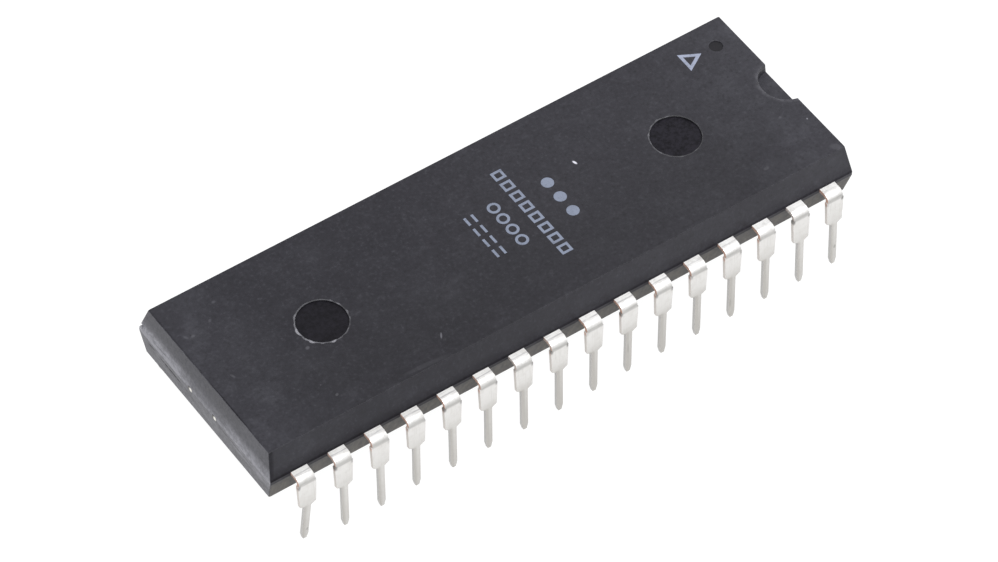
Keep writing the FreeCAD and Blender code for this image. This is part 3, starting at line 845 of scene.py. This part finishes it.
def ink_finish(settings):
    """Pale ink, thin and broken where it sits on the grain, and heavier on the triangle."""
    finish = Finish("marking_ink")
    place = finish.place()
    x = finish.parts(place)[0]
    grain = finish.noise(place, 9.0, 3.0, 0.7)
    patches = finish.noise(place, 1.2, 2.0)
    worn = grain.between(0.52, 0.72) * 0.5 + patches.between(0.5, 0.8) * 0.25
    tone = finish.blend(x.between(15.5, 16.0) * 0.5, settings.ink, HEAVY_INK)
    tone = finish.blend(worn, tone, WORN_INK)
    return finish.finish_with(finish.surface(
        base_color=tone, roughness=0.6 + grain * 0.2, normal=finish.bump(grain, 0.006),
    ))


# Printed marks

# Sizes of the plain marks, and how far a line's corner may reach: half its width divided by this
DOT_RADIUS = 0.40
RING_RADIUS = 0.33
ROUND_SIDES = 28
BLOCK_HALF_SIZES = (0.30, 0.27)
BAR_SHIFT = 0.26
BAR_HALF_LENGTH = 0.32
MITRE_LIMIT = 0.3

# Rows of plain marks across the middle of the chip: X of the row, number of marks, spacing and kind
MARK_ROWS = (
    (4.25, 3, 1.30, "dot"),
    (2.15, 8, 0.97, "block"),
    (0.45, 4, 0.97, "ring"),
    (-1.20, 4, 0.97, "bars"),
)

# The printed triangle beside pin 1: its three outer corners, and its stroke as a multiple of the marks'
TRIANGLE = ((16.66, 5.19), (17.99, 4.48), (16.65, 3.68))
TRIANGLE_STROKE = 1.25


def closed_line(shape, corners, width, level, height):
    """A printed closed line of even width, raised from the face."""
    count = len(corners)
    loops = {}
    for side in (-1, 1):
        loop = []
        for index, corner in enumerate(corners):
            before = (corner - corners[index - 1]).normalized()
            after = (corners[(index + 1) % count] - corner).normalized()
            normal = Vector((-before.y - after.y, before.x + after.x)).normalized()
            reach = width / 2 / max(MITRE_LIMIT, normal.dot(Vector((-before.y, before.x))))
            loop.append(corner + normal * reach * side)
        loops[side] = loop
    rings = []
    for side, z in ((1, level), (1, level + height), (-1, level + height), (-1, level)):
        rings.append([shape.verts.new((point.x, point.y, z)) for point in loops[side]])
    join_rings(shape, rings)


def filled_field(shape, corners, level, height):
    """A printed field, raised from the face."""
    low = [shape.verts.new((point.x, point.y, level)) for point in corners]
    high = [shape.verts.new((point.x, point.y, level + height)) for point in corners]
    shape.faces.new(high)
    shape.faces.new(low[::-1])
    count = len(corners)
    for index in range(count):
        turn = (index + 1) % count
        shape.faces.new((low[index], low[turn], high[turn], high[index]))


def circle_of(middle, radius):
    """The corners of a circle drawn with straight sides."""
    corners = []
    for step in range(ROUND_SIDES):
        turn = math.tau * step / ROUND_SIDES
        corners.append(Vector((middle[0] + radius * math.cos(turn), middle[1] + radius * math.sin(turn))))
    return corners


def block_of(middle, half_x, half_y):
    """The corners of a rectangle."""
    signs = ((-1, -1), (1, -1), (1, 1), (-1, 1))
    return [Vector((middle[0] + half_x * one, middle[1] + half_y * other)) for one, other in signs]


def printed_mark(shape, kind, middle, stroke, level, height):
    """One mark of a row: a dot, a ring, a square outline or a double bar."""
    if kind == "dot":
        filled_field(shape, circle_of(middle, DOT_RADIUS), level, height)
    elif kind == "ring":
        closed_line(shape, circle_of(middle, RING_RADIUS), stroke, level, height)
    elif kind == "block":
        closed_line(shape, block_of(middle, *BLOCK_HALF_SIZES), stroke, level, height)
    else:
        for shift in (-BAR_SHIFT, BAR_SHIFT):
            bar = block_of((middle[0] + shift, middle[1]), stroke / 2, BAR_HALF_LENGTH)
            filled_field(shape, bar, level, height)


def printed_triangle(shape, stroke, level, height):
    """The outline of the triangle, drawn inside its outer corners."""
    corners = [Vector(corner) for corner in TRIANGLE]
    middle = sum(corners, Vector((0, 0))) / len(corners)
    inset = [corner + (middle - corner).normalized() * stroke for corner in corners]
    closed_line(shape, inset, stroke, level, height)


# Flash round the ejector marks

# Each mark's middle X, how strong the highlight painted on its rim is, bearing of its lit side, and its
# lumps: bearing and size
RIMS = {
    "left_mark_flash": (-MARK_X, 1.0, 180, (
        (20, 0.9), (38, 0.6), (135, 0.9), (172, 1.3), (180, 0.8),
        (214, 1.3), (262, 1.3), (305, 0.5), (352, 1.2),
    )),
    "right_mark_flash": (MARK_X, 0.42, 150, (
        (73, 0.7), (100, 0.8), (120, 0.6), (142, 0.9), (165, 0.6), (199, 0.6), (285, 0.6), (330, 0.5),
    )),
}

# Steps and random waves round a rim, spread of a lump in degrees, how far its radius wavers,
# least share of its height and least width, and how deep its foot goes on the mark's side and outside
RIM_STEPS = 240
RIM_WAVES = 9
LUMP_SPREAD = 4.5
RADIUS_WAVER = 0.03
LEAST_RISE = 0.15
LEAST_WIDTH = 0.03
INNER_FOOT = 0.05
OUTER_FOOT = 0.006


def make_rim(name, middle, highlight_strength, lit_side, lumps, height, material):
    """An uneven raised ring of flash on the edge of an ejector mark, with a highlight painted on its lit
    side and lumps.
    """
    draw = random.Random(name)
    waves = []
    for _ in range(RIM_WAVES):
        waves.append((draw.randint(2, 19), draw.uniform(0, math.tau), draw.uniform(0.3, 1.0)))
    shape = bmesh.new()
    painted_highlight = shape.verts.layers.float.new("painted_highlight")
    rings = []
    for step in range(RIM_STEPS):
        turn = math.tau * step / RIM_STEPS
        wave = sum(size * math.sin(count * turn + shift) for count, shift, size in waves) / len(waves)
        lump = 0.0
        for bearing, size in lumps:
            gap = math.remainder(turn - math.radians(bearing), math.tau) / math.radians(LUMP_SPREAD)
            lump += size * math.exp(-gap * gap)
        side = 0.5 + 0.5 * math.cos(turn - math.radians(lit_side))
        rise = height * max(LEAST_RISE, 0.5 + 1.2 * wave + 0.9 * lump)
        width = max(LEAST_WIDTH, 0.045 + 0.04 * wave + 0.035 * lump + 0.035 * side * highlight_strength)
        # Painted highlight on the rim: strongest on its lit side, on its lumps and where it rises
        share = 0.08 + 0.5 * side ** 3 + 0.6 * max(0, wave) + 0.7 * lump
        radius = MARK_RADIUS + RADIUS_WAVER * wave
        profile = (
            (radius - 0.03, TOP - INNER_FOOT),
            (radius - 0.01, TOP + 0.55 * rise),
            (radius + 0.3 * width, TOP + rise),
            (radius + 0.75 * width, TOP + 0.6 * rise),
            (radius + 1.3 * width, TOP - OUTER_FOOT),
        )
        ring = []
        for reach, level in profile:
            vertex = shape.verts.new((middle + reach * math.cos(turn), reach * math.sin(turn), level))
            vertex[painted_highlight] = min(1.0, highlight_strength * share)
            ring.append(vertex)
        rings.append(ring)
    join_rings(shape, rings)
    return add_piece(name, mesh_from(name, shape, smooth=True), material)


# Stage

# The floor reaches this far from the middle, and glows
FLOOR_REACH = 3000
FLOOR_GLOW = 0.98
FLOOR_DIM = (0.07, 0.07, 0.07)
FLOOR_PALE = (0.09, 0.09, 0.09)

# The sky is dim below the first rise and bright above the second, each the sine of an elevation
DIM_RISE = 0.02
BRIGHT_RISE = 0.45

# The camera's sensor in millimetres, and the nearest and farthest that it sees, in metres
SENSOR_WIDTH = 36.0
NEAREST = 0.01
FARTHEST = 20.0


def make_floor(scene):
    """A pale floor that is nearly as bright in the shade as in the light."""
    finish = Finish("pale_floor")
    cloud = finish.noise(finish.place(), 0.004, 2.0)
    paint = finish.surface(
        base_color=finish.blend(cloud, FLOOR_DIM, FLOOR_PALE), roughness=0.9, specular_ior_level=0.1,
        emission_color=(1.0, 1.0, 1.0, 1.0), emission_strength=FLOOR_GLOW,
    )
    shape = bmesh.new()
    bmesh.ops.create_grid(shape, x_segments=8, y_segments=8, size=FLOOR_REACH)
    floor = bpy.data.objects.new("floor", mesh_from("floor", shape))
    floor.data.materials.append(finish.finish_with(paint))
    scene.collection.objects.link(floor)


def make_sky(scene, settings):
    """A white tent: bright overhead and dimmer towards the horizon."""
    scene.world = bpy.data.worlds.new("studio_tent")
    scene.world.use_nodes = True
    sky = Nodes(scene.world.node_tree)
    rise = sky.parts(sky.node("ShaderNodeTexCoord", output="Generated"))[2]
    inputs = {"Value": rise, "From Min": DIM_RISE, "From Max": BRIGHT_RISE}
    inputs.update({"To Min": settings.horizon, "To Max": settings.sky})
    strength = sky.node("ShaderNodeMapRange", {"interpolation_type": "SMOOTHSTEP"}, inputs)
    backdrop = sky.node("ShaderNodeBackground", inputs={"Strength": strength})
    sky.node("ShaderNodeOutputWorld", inputs={"Surface": backdrop})


def make_key(scene, settings):
    """One broad lamp from above the camera's side."""
    lamp = bpy.data.lights.new("soft_key", "SUN")
    lamp.energy = settings.key
    lamp.angle = math.radians(settings.key_angle)
    key = bpy.data.objects.new("soft_key", lamp)
    key.rotation_euler = Vector(settings.key_from).to_track_quat("Z", "Y").to_euler()
    scene.collection.objects.link(key)


def make_camera(scene, settings):
    """The camera, turned about its own line and set back from its target."""
    azimuth = math.radians(settings.azimuth)
    elevation = math.radians(settings.elevation)
    roll = math.radians(settings.roll)
    out = math.cos(elevation)
    back = Vector((math.sin(azimuth) * out, -math.cos(azimuth) * out, math.sin(elevation)))
    level = Vector((math.cos(azimuth), math.sin(azimuth), 0))
    upright = back.cross(level)
    right = math.cos(roll) * level + math.sin(roll) * upright
    up = math.cos(roll) * upright - math.sin(roll) * level
    camera = bpy.data.objects.new("camera", bpy.data.cameras.new("camera"))
    camera.data.sensor_width = SENSOR_WIDTH
    camera.data.lens = settings.lens
    camera.data.clip_start = NEAREST
    camera.data.clip_end = FARTHEST
    turn = Matrix((right, up, back)).transposed().to_4x4()
    spot = (Vector(settings.target) + back * settings.distance) * MM
    camera.matrix_world = Matrix.Translation(spot) @ turn
    scene.collection.objects.link(camera)
    scene.camera = camera


# Operators

# How far the rounded edges of the body may lie from the levels of its top and base
LEVEL_REACH = 0.005


class CHIP_OT_package(Operator):
    """Give the moulded body its finish and its rounded edges"""

    bl_idname = "chip.package"
    bl_label = "Moulded body"

    def execute(self, context):
        settings = context.scene.chip_moulding
        body = set_material("package_body", moulding_finish(settings))
        bands = [(level - LEVEL_REACH, level + LEVEL_REACH) for level in (BASE, TOP)]
        picker = make_edge_picker("moulded_edges", bands, rounded=30, creased=5.5)
        soften_edges(body, settings.edge_radius, segments=3, picker=picker)
        return {"FINISHED"}


class CHIP_OT_flash(Operator):
    """Add the flash that stands round the ejector marks"""

    bl_idname = "chip.flash"
    bl_label = "Ejector mark flash"

    def execute(self, context):
        settings = context.scene.chip_moulding
        material = flash_finish(settings)
        for name, (middle, highlight_strength, lit_side, lumps) in RIMS.items():
            make_rim(name, middle, highlight_strength, lit_side, lumps, settings.rim_height, material)
        return {"FINISHED"}


class CHIP_OT_leads(Operator):
    """Give the leads their tin, bare copper sides and rounded edges"""

    bl_idname = "chip.leads"
    bl_label = "Leads"

    def execute(self, context):
        settings = context.scene.chip_leads
        material = tin_finish(settings)
        all_heights = ((-1, TOP),)
        picker = make_edge_picker("lead_edges", all_heights, rounded=25, creased=20)
        for name in LEAD_NODES:
            lead = set_material(name, material)
            soften_edges(lead, settings.edge_radius, segments=2, picker=picker)
        return {"FINISHED"}


class CHIP_OT_inside(Operator):
    """Give the paddle, adhesive, die and bond wires their finishes"""

    bl_idname = "chip.inside"
    bl_label = "Inner pieces"

    def execute(self, context):
        set_material("die_paddle", copper_finish(context.scene.chip_leads))
        set_material("die_attach", adhesive_finish())
        set_material("silicon_die", silicon_finish())
        set_material("bond_wires", gold_finish())
        return {"FINISHED"}


class CHIP_OT_print(Operator):
    """Print the triangle beside pin 1 and the rows of plain marks"""

    bl_idname = "chip.print"
    bl_label = "Printed marks"

    def execute(self, context):
        settings = context.scene.chip_print
        ink = ink_finish(settings)
        level = TOP - settings.thickness
        height = 2 * settings.thickness
        shape = bmesh.new()
        printed_triangle(shape, TRIANGLE_STROKE * settings.stroke, level, height)
        mesh = mesh_from("pin_one_triangle", shape)
        add_piece("pin_one_triangle", mesh, ink)
        for row, (x, count, spacing, kind) in enumerate(MARK_ROWS, 1):
            shape = bmesh.new()
            for step in range(count):
                y = spacing * ((count - 1) / 2 - step)
                printed_mark(shape, kind, (x, y), settings.stroke, level, height)
            name = f"printed_row_{row}"
            add_piece(name, mesh_from(name, shape), ink)
        return {"FINISHED"}


class CHIP_OT_stage(Operator):
    """Lay the pale floor and set the soft light and the camera"""

    bl_idname = "chip.stage"
    bl_label = "Stage"

    def execute(self, context):
        settings = context.scene.chip_stage
        make_floor(context.scene)
        make_sky(context.scene, settings)
        make_key(context.scene, settings)
        make_camera(context.scene, settings)
        context.scene.view_settings.view_transform = "Standard"
        return {"FINISHED"}


# Panel and registration

SETTINGS = {
    "chip_moulding": MouldingSettings,
    "chip_leads": LeadSettings,
    "chip_print": PrintSettings,
    "chip_stage": StageSettings,
}
OPERATORS = (CHIP_OT_package, CHIP_OT_flash, CHIP_OT_leads, CHIP_OT_inside, CHIP_OT_print, CHIP_OT_stage)


class CHIP_PT_finish(Panel):
    """The steps that finish the chip, with their settings"""

    bl_label = "Memory Chip"
    bl_space_type = "VIEW_3D"
    bl_region_type = "UI"
    bl_category = "Chip"

    def draw(self, context):
        for operator in OPERATORS:
            self.layout.operator(operator.bl_idname)
        for name, kind in SETTINGS.items():
            box = self.layout.box()
            box.label(text=kind.__doc__)
            for setting in kind.__annotations__:
                box.prop(getattr(context.scene, name), setting)


def register():
    for kind in (*SETTINGS.values(), *OPERATORS, CHIP_PT_finish):
        bpy.utils.register_class(kind)
    for name, kind in SETTINGS.items():
        setattr(bpy.types.Scene, name, PointerProperty(type=kind))


def unregister():
    for name in SETTINGS:
        delattr(bpy.types.Scene, name)
    for kind in (CHIP_PT_finish, *OPERATORS[::-1], *SETTINGS.values()):
        bpy.utils.unregister_class(kind)


def main():
    register()
    bpy.ops.chip.package()
    bpy.ops.chip.flash()
    bpy.ops.chip.leads()
    bpy.ops.chip.inside()
    bpy.ops.chip.print()
    bpy.ops.chip.stage()


if __name__ == "__main__":
    main()
